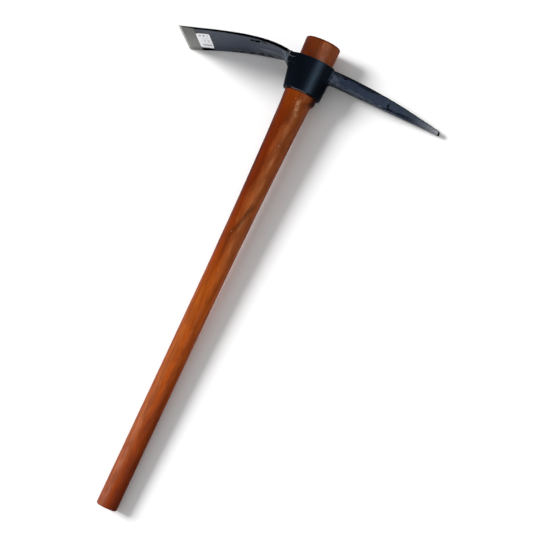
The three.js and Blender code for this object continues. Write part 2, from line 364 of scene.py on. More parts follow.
def eye_ring(y, inset=0.0):
    """A ring of the eye's outside. The top rim falls toward the adze."""
    adze_side, pick_side, half_depth, power = eye_halves(y)
    ring = ring_at(y, oval(adze_side - inset, pick_side - inset, half_depth - inset, power), 1)
    ring[:, 1] -= rim_fall * eye_rise(y) * (np.minimum(ring[:, 0], 0) / adze_side) ** 2
    return ring + (eye_middle(y), 0, 0)


eye_rings = [eye_ring(eye_mouth + on, inset) for on, inset in rounded(rim_round)]
eye_rings += [eye_ring(y) for y in spread(eye_mouth + rim_round, eye_top - rim_round, 34)[1:-1]]
eye_rings += [eye_ring(eye_top - on, inset) for inset, on in rounded(rim_round)]
eye = skin("eye", eye_rings)
print("eye", len(eye.data.vertices), "points")

# %% [markdown]
# ## The adze
# The adze is a broad curved blade across the handle. It leaves the eye as a narrow thick neck,
# bends down into a nearly straight slope, and flares to its edge. Its top is slightly crowned, a
# low rib stiffens its underside near the eye, and its edge is ground from below. Each ring is one
# cut across the blade.

# %% Sizes and rules of the adze
adze_reach, adze_width, blade_width, neck_width = sized(235.5, 127, 99, 49)
neck_length, neck_reach, neck_thickness, root_drop = sized(28, 45, 6.3, 8.8)
adze_drop, adze_bend, bevel_length, bevel_thickness = sized(45.5, 130, 23.5, 3.8)
edge_thickness, blade_crown, side_round, corner_round = sized(1, 1.2, 1.3, 1.2)
gusset_start, gusset_reach, gusset_drop, neck_blend, root_sink = sized(41.5, 17, 13, 3, 0.3)
rib_length, rib_width, rib_depth = sized(60, 40, 4.5)
gusset_power, rib_end_share, rib_softness, thin_power, round_share = 0.95, 0.25, 0.07, 1.6, 0.34
bevel_reach, gusset_end = adze_reach - bevel_length, gusset_start + gusset_reach
root_underside = eye_top - root_drop


def cove(radius, along):
    """What a cove adds to a face at a distance from its start."""
    left = min(max(radius - along, 0), radius)
    return radius - math.sqrt(radius * radius - left * left)


def gusset(reach):
    """How far the underside comes down where the blade runs into the eye's wall."""
    share = clamped((reach - gusset_start) / gusset_reach)
    return gusset_drop * (1 - share**gusset_power) ** (1 / gusset_power)


def blended_max(first, second, reach):
    """The larger of two sizes, blended where they lie close to each other."""
    overlap = max(reach - abs(first - second), 0) / reach
    return max(first, second) + overlap * overlap * reach / 4


def eye_half_depth(x, y):
    """Half depth of the eye's outside at a place along the head and a height."""
    adze_side, pick_side, half_depth, power = eye_halves(y)
    out = x - eye_middle(y)
    side, side_power = (adze_side, power) if out < 0 else (pick_side, 2)
    share = min(abs(out) / side, 1)
    return half_depth * (1 - share**side_power) ** (1 / side_power)


def blade_underside(reach):
    """Height of the underside: level at the neck, then bent into a nearly straight slope."""
    out, whole = max(reach - neck_reach, 0) / adze_bend, (adze_reach - neck_reach) / adze_bend
    return root_underside - adze_drop * (math.hypot(1, out) - 1) / (math.hypot(1, whole) - 1)


def blade_half_width(reach):
    """The blade widens fast past its neck and then flares gently to its edge."""
    out = max(reach - neck_reach, 0)
    neck = (blade_width - neck_width) * (1 - math.exp(-out / neck_length))
    return (neck_width + neck + (adze_width - blade_width) * (out / (adze_reach - neck_reach)) ** 2) / 2


def blade_thickness(reach):
    """The blade thins from its neck to the bevel, and the bevel thins to the edge."""
    if reach > bevel_reach:
        return mixed_by((reach - bevel_reach) / bevel_length, bevel_thickness, edge_thickness)
    share = clamped((reach - neck_reach) / (bevel_reach - neck_reach))
    return mixed_by(1 - (1 - share) ** thin_power, neck_thickness, bevel_thickness)


print("width at the edge", round(2 * blade_half_width(adze_reach) / mm, 1), "mm")

# %% [markdown]
# ### The adze's rings
# A ring runs over the crowned top, round a corner, down the side, round the next corner, and back
# along the underside and its rib. Every stretch has the same number of points in each ring, so
# the skin's faces run in clean rows along the blade.

# %% The adze's skin
def blade_ring(reach, inset=0.0):
    """One cut across the blade. One half is drawn, and the other half mirrors it."""
    thickness = blade_thickness(reach)
    ground = bevel_thickness - thickness if reach > bevel_reach else 0
    top = blade_underside(reach) + ground + thickness
    bottom = top - thickness - gusset(reach)
    r = min(side_round, thickness * round_share)
    crown = blade_crown * min(thickness / bevel_thickness, 1)
    rib_share = clamped(1 - (reach - neck_reach) / rib_length)
    rib_half = rib_width / 2 * mixed_by(rib_share, rib_end_share, 1)

    def half_at(y):
        return blended_max(eye_half_depth(-reach, y) - root_sink, blade_half_width(reach), neck_blend) - inset

    top_half, low_half = half_at(top), half_at(bottom)
    corner = spread(0, math.pi / 2, 4)
    half = [(top + crown * (1 - s * s), s * (top_half - r)) for s in spread(0, 1, 18)]
    half += [(top - r + r * math.cos(a), top_half - r + r * math.sin(a)) for a in corner[1:]]
    half += [(y, half_at(y)) for y in spread(top - r, bottom + r, 4)[1:-1]]
    half += [(bottom + r - r * math.sin(a), low_half - r + r * math.cos(a)) for a in corner]
    half += [(bottom, z) for z in spread(low_half - r, rib_half, 14)[1:]]
    rib = [(s, 1 - math.hypot(s, rib_softness) / math.hypot(1, rib_softness)) for s in spread(1, 0, 12)[1:]]
    half += [(bottom - rib_depth * rib_share * height, s * rib_half) for s, height in rib]
    return ring_at(-reach, half + [(y, -z) for y, z in half[-2:0:-1]], 0)


corner_start = adze_reach - corner_round
blade_places = spread_on(mouth_width / 4, (gusset_start, 12), (gusset_end, 10), (bevel_reach, 96), (corner_start, 14))
blade_rings = [blade_ring(reach) for reach in blade_places]
blade_rings += [blade_ring(adze_reach - on, inset) for inset, on in rounded(corner_round)[1:]]
adze = skin("adze", blade_rings)
print("adze", len(adze.data.vertices), "points")

# %% [markdown]
# ## The pick
# The pick is a square bar that tapers to a small blunt point. Its top is arched and its bottom is
# straight, and the chamfers on its lower corners grow toward the point. A forged bar has no knife
# edges, so each corner of a ring is turned into a small arc before the skin goes on.

# %% The pick's skin
pick_reach, pick_root, root_fall, pick_height, pick_depth = sized(255, 40, 2.3, 25, 28)
pick_drop, tip_height, tip_depth, tip_round = sized(28.5, 5.9, 8.5, 3.0)
tip_swell, swell_length, arch_lift, lift_start = sized(1.3, 40, 0.7, 105)
pick_chamfer, point_chamfer, point_length = sized(2.2, 3.2, 95)
pick_blend, pick_fillet, ease_size = sized(10, 7, 0.9)
arch_power, taper_power, point_start = 1.85, 1.3, 0.25
tip_top = eye_top - pick_drop


def eased(outline, radius, arc_steps, run_steps):
    """A closed outline with round corners, and its straight runs cut into even steps."""
    outline, arcs = np.array(outline), []
    for i, here in enumerate(outline):
        before, after = outline[i - 1] - here, outline[(i + 1) % len(outline)] - here
        reach = min(radius, np.linalg.norm(before) * 0.4, np.linalg.norm(after) * 0.4)
        start, end = [here + way / np.linalg.norm(way) * reach for way in (before, after)]
        arcs.append([(1 - t) ** 2 * start + 2 * t * (1 - t) * here + t * t * end for t in spread(0, 1, arc_steps)])
    points = []
    for arc, following in zip(arcs, arcs[1:] + arcs[:1]):
        points += arc + [mixed_by(t, arc[-1], following[0]) for t in spread(0, 1, run_steps)[1:-1]]
    return points


def along_pick(x):
    return clamped((x - pick_root) / (pick_reach - pick_root))


def pick_top(x):
    """Height of the arched top, before the swelling of its tip."""
    return mixed_by(along_pick(x) ** arch_power, eye_top - root_fall, tip_top)


def pick_ring(reach, inset=0.0):
    """One cut across the bar, with its four chamfers and round corners."""
    swell = tip_swell * clamped(1 - (pick_reach - reach) / swell_length)
    lift = arch_lift * math.sin(math.pi * clamped((reach - lift_start) / (pick_reach - lift_start)))
    top = pick_top(reach) - inset + cove(root_fall, reach - pick_root + root_fall / 2) + swell + lift
    bottom = mixed_by(along_pick(reach), eye_top - pick_height, tip_top - tip_height) + inset
    bottom -= cove(pick_fillet, reach - pick_root + pick_fillet / 2) + swell / 2
    bar_half = mixed_by(along_pick(reach) ** taper_power, pick_depth, tip_depth) / 2
    point = clamped((reach - pick_reach + point_length) / (point_length * point_start))
    limit = min(top - bottom, bar_half) * round_share
    upper, lower = min(pick_chamfer, limit), min(mixed_by(point, pick_chamfer, point_chamfer), limit)

    def half_at(y):
        return blended_max(eye_half_depth(reach, y) - root_sink, bar_half, pick_blend) - inset

    corners = [(top, half_at(top) - upper), (top - upper, half_at(top))]
    corners += [(bottom + lower, half_at(bottom)), (bottom, half_at(bottom) - lower)]
    return ring_at(reach, eased(corners + [(y, -z) for y, z in corners][::-1], ease_size, 4, 8), 0)


cove_start, cove_end = pick_root - pick_fillet / 2, pick_root + pick_fillet / 2
pick_places = spread_on(mouth_width / 4, (cove_start, 12), (cove_end, 8), (pick_reach - tip_round, 130))
pick_rings = [pick_ring(reach) for reach in pick_places]
pick_rings += [pick_ring(pick_reach - on, inset) for inset, on in rounded(tip_round)[1:]]
pick = skin("pick", pick_rings)
print("pick", len(pick.data.vertices), "points")

# %% [markdown]
# ## Marks of the hammer
# A forged blade is never quite flat. Broad shallow waves are left where the bar was drawn out, and
# a few small dents where the hammer's edge struck. A dent is an oval patch: its place along the
# head, its place across it, its two half sizes and its depth. Every point is pushed in along its
# normal, never out, so the forging stays inside the CAD model's box.

# %% Waves and dents
adze_marks = [(-109, 33, 3.5, 7, 1.1), (-103.5, 37, 3, 8, 1.0), (-98.5, 40, 2.5, 6, 0.9), (-92, 34, 4, 6, 0.9),
              (-85, 38, 4, 6, 0.8), (-88, -36, 5, 6, 0.7), (-97, -33, 4, 7, 0.8), (-107, -38, 5, 6, 0.8),
              (-118, -40, 6, 5, 0.6), (-131, -44, 5, 5, 0.5)]
pick_marks = [(49, 852, 5, 4, 0.5), (57, 843, 6, 5, 0.6), (65, 851, 4, 3, 0.6), (50, 834, 7, 3, 0.6),
              (66, 836, 6, 3, 0.5), (81, 835, 7, 3, 0.5), (97, 834, 6, 3, 0.5), (113, 834, 6, 3, 0.4)]
wave_rise, ripple, facing_share, dent_power = 15 * mm, 3.1, 0.3, 1.5


def hammered(piece, marks, across, side, wave_size, wave_depth, calm):
    """Pushes points in by soft waves that begin past the calm stretch, and by the dents on one side."""
    moved = []
    for point in piece.data.vertices:
        wave = 0.5 + 0.5 * noise.noise(point.co / wave_size) + 0.25 * noise.noise(point.co / wave_size * ripple)
        depth = wave_depth * max(wave, 0) * clamped((abs(point.co.x) - calm) / wave_rise)
        if point.normal.dot(side) > facing_share:
            for x, other, half_along, half_across, press in marks:
                away = math.hypot((point.co.x / mm - x) / half_along, (point.co[across] / mm - other) / half_across)
                depth += press * mm * max(1 - away * away, 0) ** dent_power
        moved.append(point.co - point.normal * depth)
    piece.data.vertices.foreach_set("co", np.array(moved, np.float32).ravel())
    piece.data.update()


hammered(adze, adze_marks, 2, Vector((0, -1, 0)), *sized(22, 0.3, 46))
hammered(pick, pick_marks, 1, Vector((0, 0, 1)), *sized(12, 0.35, 42))
print("dents", len(adze_marks) + len(pick_marks))

# %% [markdown]
# ### Cold shuts and flash
# Three kinds of mark are sharper than a dent. A cold shut is a thin crack where steel folded over
# itself, such as the hooked one in the middle of the pick. The honed edge has a nick. At the
# corner of the eye a thin line of flash was left by the die. Each is a thin tube along a path of
# points. The tubes of the cracks are cut out, and the tube of the flash is joined on. A few spots
# of black scale on the adze are places only: their faces get another coat later.

# %% Paths of the cracks and the flash
cracks = [
    ([(155.4, 844.4, 9.6), (152.6, 841, 9.6), (152.5, 837.6, 9.6), (154.4, 834.4, 9.5), (158.5, 832.9, 9.0),
      (166, 833.1, 8.9)], 1.35),
    ([(169, 833, 8.7), (178, 833, 8.3), (189, 833.3, 7.9), (203, 832.7, 7.1)], 1.0),
    ([(47.6, 857, 13.8), (50.2, 852.5, 13.7), (52.6, 847.4, 13.7)], 1.4),
    ([(58.5, 852.8, 13.5), (61.8, 851.5, 13.4), (66, 851.6, 13.2), (70, 853, 13.1)], 1.1),
    ([(46, 833.8, 14.1), (55, 835, 13.8), (64, 834.6, 13.4)], 0.9),
    ([(-235.8, 811.4, -54), (-233.6, 810.4, -55), (-231.8, 810.6, -56)], 1.0),
    ([(-113, 844.5, 31), (-108, 845.6, 36), (-104, 846.3, 41.3)], 1.4),
    ([(-108.7, 845.2, 27), (-102, 846.6, 35), (-97.5, 847.4, 42.6)], 1.5),
    ([(-96, 847.6, 28.8), (-90, 848.6, 33), (-82.4, 849.7, 38.1)], 1.2),
]
scale_spots = [
    ([(-115, 844.2, 31), (-109, 845.4, 37)], 4.4), ([(-106, 845.8, 29), (-99, 847.1, 37)], 4.2),
    ([(-95, 847.4, 40), (-87, 848.9, 36)], 3.2), ([(-92, 848.4, -31), (-80, 849.8, -35)], 4.6),
    ([(-106, 845.8, -38), (-97, 847.4, -31)], 4.6), ([(-124, 841.6, -43), (-112, 844.7, -36)], 4.2),
    ([(-143, 835.9, -46), (-134, 838.7, -44)], 3.6),
    ([(-209, 816.2, -52), (-200, 819.5, -50), (-191, 822.6, -53)], 7.5),
]
flash = [([(-44.4, 855.6, 24.6), (-44.0, 851.6, 24.5), (-41.5, 849.4, 24.5), (-37.0, 849.4, 24.7),
           (-31.4, 850.8, 25.4)], 0.36)]
print("cracks", len(cracks), "flash lines", len(flash), "spots of scale", len(scale_spots))

# %% Tubes along the paths
tube_sides, off_axis, end_share, wall_share = 8, (0.31, 0.89, 0.33), 0.3, 1.04


def tube_line(path, radius, steps):
    """Places along a path in millimetres, and the tube's radius there, less toward both ends."""
    path = np.array(path) * mm
    shares = spread(0, len(path) - 1, steps * (len(path) - 1))
    centres = np.stack([np.interp(shares, range(len(path)), path[:, axis]) for axis in range(3)], axis=1)
    return centres, radius * mm * mixed_by(np.sin(math.pi * shares / shares[-1]), end_share, 1)


def tube_rings(path, radius):
    """Rings of points round the path."""
    centres, sizes = tube_line(path, radius, 5)
    rings = []
    for centre, way, size in zip(centres, np.gradient(centres, axis=0), sizes):
        first = np.cross(way, off_axis)
        second = np.cross(way, first)
        first, second = first / np.linalg.norm(first) * size, second / np.linalg.norm(second) * size
        angles = spread(0, 2 * math.pi, tube_sides)[:-1]
        rings.append(np.array([centre + math.cos(a) * first + math.sin(a) * second for a in angles]))
    return rings


def in_tubes(spots, tubes):
    """Which of the spots lie in one of the tubes or on its wall."""
    found = np.zeros(len(spots), bool)
    for path, radius in tubes:
        for centre, size in zip(*tube_line(path, radius, 40)):
            found |= np.linalg.norm(spots - centre, axis=1) < size * wall_share
    return found


crack_tubes, flash_tubes = [skin(name, *[tube_rings(path, radius) for path, radius in tubes])
                            for name, tubes in (("crack_tubes", cracks), ("flash_tubes", flash))]
print("tubes", crack_tubes.name, flash_tubes.name)

# %% [markdown]
# ## One forging
# The real head has no weld between its parts, so the three skins are joined into one solid and the
# socket is cut through it. Blender's exact Boolean does both. Its result is copied to a plain mesh
# at once, and no modifier is left.

# %% Join and cut
def made_plain(piece):
    """Turns what a piece's modifiers make into its own plain mesh."""
    bpy.context.view_layer.update()
    piece.data = bpy.data.meshes.new_from_object(piece.evaluated_get(bpy.context.evaluated_depsgraph_get()))
    piece.modifiers.clear()


def carve(base, other, operation):
    """Joins another closed piece to a base, or cuts it out of the base."""
    step = base.modifiers.new("carve", "BOOLEAN")
    step.object, step.operation, step.solver = other, operation, "EXACT"
    made_plain(base)
    bpy.data.objects.remove(other)


socket_rings = []
for y in (eye_mouth - rim_round, eye_mouth, eye_top, eye_top + rim_round):
    half_width, half_depth = socket_halves(y)
    socket_rings.append(ring_at(y, oval(half_width, half_width, half_depth), 1) + (eye_middle(y), 0, 0))
socket = skin("socket", socket_rings)
head = eye
head.name = head.data.name = "forged_head"
for other in (adze, pick, flash_tubes):
    carve(head, other, "UNION")
for other in (crack_tubes, socket):
    carve(head, other, "DIFFERENCE")
print("head", len(head.data.vertices), "points")

# %% [markdown]
# ## Where paint thins, and painted shine
# Paint wears first on corners that stand out. The angle between neighbouring faces tells where
# those are, so it is measured on the mesh and kept as one number for each point. A second number
# tells where rough forge scale was left: at the root of the pick, along its lower face, and along
# the far side of the adze. A third number is painted shine: a painted highlight toward the pick's
# tip and on the rib's crest, and painted reflection at the adze's neck, on the rib's far flank and
# beside the adze's root. The paint's material reads all three.

# %% Helpers for numbers on points
def smoothed(values, edges):
    """Each point's value, averaged with its neighbours."""
    total, count = values.copy(), np.ones(len(values))
    for a, b in ((0, 1), (1, 0)):
        np.add.at(total, edges[:, a], values[edges[:, b]])
        np.add.at(count, edges[:, a], 1)
    return total / count


def store(mesh, name, values):
    mesh.attributes.new(name, "FLOAT", "POINT").data.foreach_set("value", np.array(values, np.float32))


def ramped(values, low, high):
    """Zero at low, one at high, and straight between. The ends are given in millimetres."""
    return np.clip((values / mm - low) / (high - low), 0, 1)


print("helpers ready for numbers on points")

# %% Wear, scale and painted shine
worn_angle, merge_gap, short_edge = 18, 0.01 * mm, 0.05 * mm
shell = bmesh.new()
shell.from_mesh(head.data)
bmesh.ops.remove_doubles(shell, verts=shell.verts, dist=merge_gap)
wear = np.zeros(len(shell.verts))
for edge in shell.edges:
    if len(edge.link_faces) == 2 and edge.calc_length() > short_edge:
        turn = math.degrees(edge.calc_face_angle_signed(0))
        for point in edge.verts:
            wear[point.index] = max(wear[point.index], min(turn / worn_angle, 1))
links = np.array([[point.index for point in edge.verts] for edge in shell.edges])
shell.to_mesh(head.data)
shell.free()
spots = np.array([point.co[:] for point in head.data.vertices])
normal_y = np.array([point.normal.y for point in head.data.vertices])
x, y, z = spots.T
below = normal_y < -0.5
root_scale = 0.5 * ramped(x, 38, 42) * ramped(x + (y - 840 * mm) * 0.3, 62, 50) * ramped(y, 832, 836)
under_scale = ramped(x, 38, 42) * ramped(y - 831.5 * mm - (x - 41 * mm) * 0.012, 6.0, 2.5) * ramped(x, 190, 150)
under_scale *= ramped(z, 7, 4)
adze_scale = ramped(x, -60, -80) * ramped(x, -175, -150) * ramped(z, -18, -32) * below
scale_left = np.maximum.reduce([root_scale, under_scale, adze_scale])
# Painted shine: a painted highlight toward the pick's tip and on the rib's crest, and painted reflection on the adze's
# neck, the rib's far flank and the adze's root.
neck_shine = 0.18 * below * ramped(x, -44, -52) * ramped(x, -125, -80)
rib_shine = 0.5 * ramped(np.abs(z), 3.2, 1.0) + 0.25 * ramped(z, 0, -2) * ramped(z, -22, -12)
crest_shine = below * ramped(x, -44, -50) * ramped(x, -112, -92) * rib_shine
root_shine = 0.25 * ramped(x, -43, -45) * ramped(x, -64, -52) * (normal_y < 0.5)
tip_shine = ramped(x, 175, 250) ** 3
store(head.data, "worn", smoothed(wear, links))
store(head.data, "scale_left", scale_left)
store(head.data, "painted_shine", np.maximum.reduce([tip_shine, neck_shine, crest_shine, root_shine]))
print("worn points", int((wear > 0.5).sum()), "and points with scale", int((scale_left > 0.5).sum()), "of", len(wear))

# %% [markdown]
# ## Painted steel
# The head is dipped in a blue-black paint over forge scale. It lies thick and nearly black on the
# eye, and thinner and bluer on the broad faces that were hammered last. It thins to grey on the
# corners. One function writes every coat, because they differ only in their colours, gloss and
# grain. The grain of the scale goes into bump. The cracks are black, and so are the narrow sides
# of the adze, where the black is painted shade. The flash shows grey steel, and the same grey on
# the lips of the eye is partly worn paint and partly a painted highlight. The paler paint of the
# pick's downward faces is painted light.

# %% Helpers for colours and grain
def on_piece(made):
    """A piece's own coordinates."""
    return add(made.node_tree, "ShaderNodeTexCoord", output="Object")


def stored(made, name):
    """A number that is stored on the points of a piece."""
    return add(made.node_tree, "ShaderNodeAttribute", output="Fac", attribute_name=name)


def ramp(value, *stops):
    """A colour ramp with (position, colour) stops."""
    made = add(value.tree, "ShaderNodeValToRGB", {"Fac": value})
    elements = made.socket.node.color_ramp.elements
    while len(elements) < len(stops):
        elements.new(0.5)
    for element, (position, colour) in zip(elements, stops):
        element.position, element.color = position, (*colour, 1)
    return made


def blend(share, first, second, mode="MIX"):
    """Two colours mixed by a share. Each may be a wire or a plain value."""
    tones = [(*tone, 1) if isinstance(tone, tuple) else tone for tone in (first, second)]
    inputs = {0: share, 6: tones[0], 7: tones[1]}
    return add(tree_of(share, first, second), "ShaderNodeMix", inputs, output=2, data_type="RGBA", blend_type=mode)


def grain(where, scale, detail=3.0, rough=0.55, stretch=(1, 1, 1), turn=(0, 0, 0)):
    """Noise on the piece's own coordinates, stretched along its axes."""
    mapped = add(where.tree, "ShaderNodeMapping", {"Vector": where, "Scale": stretch, "Rotation": turn})
    inputs = {"Vector": mapped, "Scale": scale, "Detail": detail, "Roughness": rough}
    return add(where.tree, "ShaderNodeTexNoise", inputs)


def bump(height, distance, **under):
    """A bump of the surface, over another one where it is given as Normal."""
    return add(height.tree, "ShaderNodeBump", {"Height": height, "Distance": distance, "Strength": 1.0, **under})


print("helpers ready for colours and grain")

# %% Painted steel
cool, cooler, plain = (0.72, 0.86, 1.0, 1), (0.45, 0.68, 1.0, 1), (1, 1, 1, 1)
blue_scale = ((0.003, 0.004, 0.007), (0.032, 0.043, 0.062), (0.10, 0.12, 0.15))
dark_scale = ((0.001, 0.001, 0.002), (0.008, 0.010, 0.014), (0.03, 0.035, 0.045))


def painted(name, dark, light, bare, thinning, roughness, relief, gloss, tint=plain, shine_strength=0.95, scale=blue_scale):
    """Paint over forge scale: two tones in soft clouds, speckled scale, bare grey on worn corners, and grey painted
    shine.
    """
    made = surface(name, Specular_IOR_Level=gloss, Specular_Tint=tint)
    where, scale_share = on_piece(made), stored(made, "scale_left")
    clouds, scale_grain, pits = grain(where, 40), grain(where, 420, 4, 0.6), grain(where, 1300, 2)
    flakes = grain(where, 260, 3, 0.7)
    speckled = ramp(flakes, *zip((0.42, 0.50, 0.60), scale))
    colour = blend(scale_share * 0.85, ramp(clouds, (0.3, dark), (0.7, light)), speckled)
    colour = blend(fade(split(where), -0.165, -0.212, 0.7), colour, (0.002, 0.003, 0.005))
    # Painted highlight and reflection: grey, in patches, where the painted shine number is high.
    painted_shine = stored(made, "painted_shine") * fade(scale_grain, 0.3, 0.6, shine_strength, start=0.5 * shine_strength)
    colour = blend(painted_shine, colour, (0.31, 0.32, 0.34))
    thin = fade(stored(made, "worn"), 0.35, 1.0) * fade(scale_grain, 0.4, 0.62, thinning)
    lumps = scaled(clouds, 2.5, scale_grain + flakes * scale_share * 2.0)
    dress(made, Base_Color=blend(thin, colour, bare), Roughness=scaled(scale_grain, 0.14, roughness),
          Normal=bump(pits, 0.03 * mm, Normal=bump(lumps, relief * mm)))
    return made


paints = [painted(*row) for row in (
    ("black_dip", (0.0007, 0.0011, 0.0024), (0.0012, 0.0021, 0.0045), (0.02, 0.023, 0.028),
     0.6, 0.33, 0.16, 0.026, cooler),
    ("blue_black_adze", (0.008, 0.015, 0.036), (0.016, 0.028, 0.060), (0.11, 0.12, 0.135),
     0.9, 0.42, 0.20, 0.20, cool, 0.95, dark_scale),
    ("blue_black_pick", (0.006, 0.011, 0.026), (0.013, 0.021, 0.042), (0.10, 0.11, 0.13), 0.9, 0.42, 0.26, 0.04, cool),
    # Black for cracks, scale and dirt, and painted shade on the adze's narrow sides.
    ("crack_black", (0.0006, 0.0008, 0.0012), (0.0012, 0.0016, 0.0024), (0.01, 0.01, 0.01),
     0.2, 0.6, 0.1, 0.0, plain, 0.0),
    # Grey of the flash, and of the eye's lips, where it is partly worn paint and partly a painted highlight.
    ("flash_grey", (0.11, 0.115, 0.13), (0.20, 0.21, 0.23), (0.30, 0.30, 0.32), 0.5, 0.4, 0.05, 0.2),
    # A paler copy of the pick's paint for its downward faces: painted light that those faces lack.
    ("blue_black_under", (0.048, 0.058, 0.082), (0.090, 0.105, 0.140), (0.10, 0.11, 0.13), 0.5, 0.5, 0.26, 0.0),
)]
print("materials", [paint.name for paint in paints])

# %% [markdown]
# ## Ground steel
# The underside of the edge is ground bare. The wheel leaves fine scratches that run from the blade
# toward the edge, so the noise is drawn out along that way. The last three millimetres were honed
# and are brighter. It is a metal, with a dull grey of its own. Painted shade darkens its higher,
# near side.

# %% Ground steel
bevel = surface("ground_bevel", Metallic=1.0)
where = on_piece(bevel)
scratches, patches = grain(where, 900, 3, 0.6, stretch=(0.06, 1, 1)), grain(where, 60, 2)
dull = ramp(scratches, (0.3, (0.097, 0.097, 0.089)), (0.7, (0.140, 0.139, 0.130)))
dull = blend(fade(patches, 0.4, 0.65, 0.35), dull, (0.12, 0.118, 0.108))
# Painted shade: the bevel darkens toward its higher, near side.
dull = blend(fade(split(where)["Z"], 0.02, 0.11), dull, blend(1.0, dull, (0.45, 0.46, 0.45), "MULTIPLY"))
dress(bevel, Base_Color=blend(stored(bevel, "honed"), dull, (0.42, 0.41, 0.395)),
      Roughness=scaled(scratches, 0.2, 0.32), Normal=bump(scratches, 0.03 * mm))
print("material", bevel.name)

# %% [markdown]
# ## Finish the head
# Each face gets its coat by its place and by the way that it faces. The bevel is ground steel. The
# sides of the adze, the tip of the pick and the chamfer along its top are black, and on the adze's
# sides that black is painted shade. The pick's face is dipped black along its top, with a deeper
# sag near the root, and a broken dark seam runs where its dull underside begins. That underside is
# a paler copy of the paint, as painted light. The lips of the eye's rims are grey, partly worn and
# partly a painted highlight. The cracks, the spots of scale and the flash are found by their
# tubes. The head is then smoothed except at real corners, laid on the floor, and tied to its
# body. It stands for the CAD model's own head.

# %% Materials, smoothing and body of the head
def settled(piece, body, nodes, smooth_angle=35):
    """Lays a finished piece on the floor, smooths it, and ties it to its body."""
    piece.data.transform(place)
    piece.data.shade_smooth()
    if smooth_angle:
        piece.data.set_sharp_from_angle(angle=math.radians(smooth_angle))
    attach(piece, body)
    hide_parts(*nodes)


bevel_lap, near_band, far_band, neck_lap, under_lap, adze_start, eye_side = sized(1.2, 1.2, 3, 2, 0.3, 48, 44)
tip_black, chamfer_start, eye_edge, eye_edge_height = sized(3.2, 42, 41, 836)
dip_depth, sag_depth, sag_middle, sag_half = sized(7, 3.5, 108, 26)
dull_start, dull_run, dull_near, dull_far, seam_low, seam_high, seam_size = sized(125, 35, 4.5, 10, 2, 1.2, 9)


def coat_of(face):
    """The name of a face's coat. The ground edge comes first, and the pick last."""
    (x, y, z), normal = face.center, face.normal
    if -x > bevel_reach - bevel_lap and normal.y < -0.3:
        return "ground_bevel"
    half = blade_half_width(-x)
    broad = -x > neck_reach - neck_lap and abs(normal.y) > 0.5 and far_band - half < z < half - near_band
    in_gusset = -gusset_end < x < -eye_side and z > 0 and y < blade_underside(-x) - under_lap and normal.x < 0.8
    if broad or in_gusset:
        return "blue_black_adze"
    on_chamfer = x > chamfer_start and z > 0 and 0.45 < normal.y < 0.93
    # On the adze, black on the narrow sides is painted shade over their black paint.
    if x < -adze_start or x > pick_reach - tip_black or on_chamfer:
        return "crack_black"
    # Grey on the lips of the eye's rims: partly worn paint, partly a painted highlight.
    on_mouth_lip = y < eye_mouth + 0.3 * mm and normal.y < -0.8 and -15 * mm < x < 14 * mm
    on_top_lip = y > eye_top - 1.5 * mm and 0.6 < normal.y < 0.93 and 6 * mm < x < 30 * mm and z > 8 * mm
    if on_mouth_lip or on_top_lip:
        return "flash_grey"
    dipped = pick_top(x) - mixed_by(min(along_pick(x) * 1.5, 1), dip_depth, 0)
    dipped -= sag_depth * max(1 - ((x - sag_middle) / sag_half) ** 2, 0)
    if x <= eye_edge + 0.12 * (y - eye_edge_height) or y > dipped and normal.y < 0.9:
        return "black_dip"
    dull_from = mixed_by(clamped((x - dull_start) / dull_run), dull_near, dull_far)
    # The pick's downward faces take the paler coat, which is painted light, edged by a broken black seam.
    if normal.y < -0.7 and z > dull_from - seam_low:
        seam = z < dull_from + seam_high and noise.noise(Vector((x, 0, 0)) / seam_size) > -0.25
        return "crack_black" if seam else "blue_black_under"
    return "blue_black_pick"


head.data.materials.clear()
for coat in (*paints[:3], bevel, *paints[3:]):
    head.data.materials.append(coat)
faces = head.data.polygons
coats = np.array([coat_of(face) for face in faces])
centres = np.array([face.center[:] for face in faces])
not_on_top = np.array([face.normal.y < 0.3 for face in faces])
coats[in_tubes(centres, cracks + scale_spots) & (coats != "black_dip") & not_on_top] = "crack_black"
coats[in_tubes(centres, flash)] = "flash_grey"
coat_names = [coat.name for coat in head.data.materials]
faces.foreach_set("material_index", np.array([coat_names.index(name) for name in coats], np.int32))
honed_reach, honed_fade = adze_reach - 3.4 * mm, 0.9 * mm
store(head.data, "honed", np.clip((-spots[:, 0] - honed_reach) / honed_fade, 0, 1))
settled(head, "head", ["pick_head"])
print("head faces", len(faces))

# %% [markdown]
# ## The label
# A small paper label sticks to the underside of the adze, beside the bevel. It bends with the
# blade, its corners are round, and one corner has begun to lift. It carries rows of plain grey
# bars. The bars are drawn by the label's own UV map, so they follow the paper.

# %% The label's paper
label_length, label_width, label_corner, label_inset, label_shift = sized(76, 23, 5, 2, -1.5)
paper_gap, paper_thickness, lift_reach, lift_height = sized(0.06, 0.2, 13, 1.4)
outer, across = bevel_reach - label_inset, 48
inner = outer - label_width
stations = [(inner + on, inset) for on, inset in rounded(label_corner)]
stations += [(reach, 0) for reach in spread(inner + label_corner, outer - label_corner, 16)[1:-1]]
stations += [(outer - on, inset) for on, inset in rounded(label_corner)][::-1]
points, sheet_uv = [], []
for reach, inset in stations:
    for share in spread(-1, 1, across):
        z = share * (label_length / 2 - inset)
        corner_away = math.hypot(reach - inner, z + label_length / 2) / lift_reach
        lift = lift_height * max(1 - corner_away, 0) ** 2
        points.append((-reach, blade_underside(reach) - paper_gap - lift, z + label_shift))
        sheet_uv.append(((reach - inner) / label_width, z / label_length + 0.5))
size = len(points)
under = [(x, y - paper_thickness, z) for x, y, z in points]
grid = np.arange(size).reshape(len(stations), across + 1)
quads = np.stack([grid[:-1, :-1], grid[:-1, 1:], grid[1:, 1:], grid[1:, :-1]], axis=2).reshape(-1, 4)
